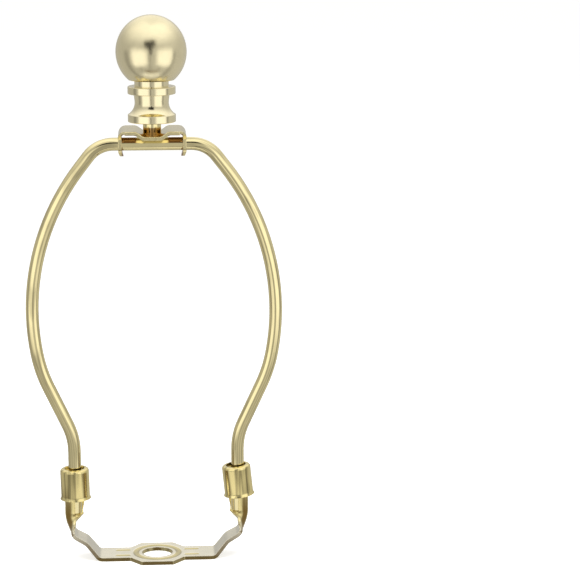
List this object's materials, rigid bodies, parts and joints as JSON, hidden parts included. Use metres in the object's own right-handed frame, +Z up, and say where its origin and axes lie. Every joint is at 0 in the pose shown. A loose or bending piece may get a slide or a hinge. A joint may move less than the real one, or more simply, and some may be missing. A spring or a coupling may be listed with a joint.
{
  "type": "lamp harp",
  "caption": "Bent wire lamp harp with a stamped saddle, locking ferrules, a swivelling shade plate and a screw-on ball finial.",
  "frame": {"origin": "centre of the saddle's pipe hole on the saddle's underside", "axes": "+Z up the lamp towards the finial, X from leg to leg, front faces -Y"},
  "size_m": [0.0888, 0.024, 0.1911],
  "materials": {
    "plated_sheet": "polished",
    "plated_wire": "polished",
    "plated_ferrule": "polished",
    "plated_plate": "polished",
    "stud_brass": "polished",
    "finial_brass": "polished",
    "ball_brass": "satin"
  },
  "bodies": {
    "harp": {"saddle": "plated_sheet", "bow_wire": "plated_wire"},
    "left_sleeve": {"left_ferrule": "plated_ferrule"},
    "right_sleeve": {"right_ferrule": "plated_ferrule"},
    "shade_top": {"swivel_plate": "plated_plate", "threaded_stud": "stud_brass"},
    "finial": {"finial_base": "finial_brass", "finial_ball": "ball_brass"}
  },
  "joints": [
    {"name": "left_ferrule_lift", "type": "slide", "parent": "harp", "child": "left_sleeve", "axis": [0, 0, 1], "range_m": [0, 0.0115]},
    {"name": "right_ferrule_lift", "type": "slide", "parent": "harp", "child": "right_sleeve", "axis": [0, 0, 1], "range_m": [0, 0.0095]},
    {"name": "plate_tilt", "type": "hinge", "parent": "harp", "child": "shade_top", "pos_m": [0, 0, 0.14712], "axis": [1, 0, 0], "continuous": true},
    {"name": "finial_lift", "type": "slide", "parent": "shade_top", "child": "finial", "axis": [0, 0, 1], "range_m": [0, 0.0135]}
  ]
}
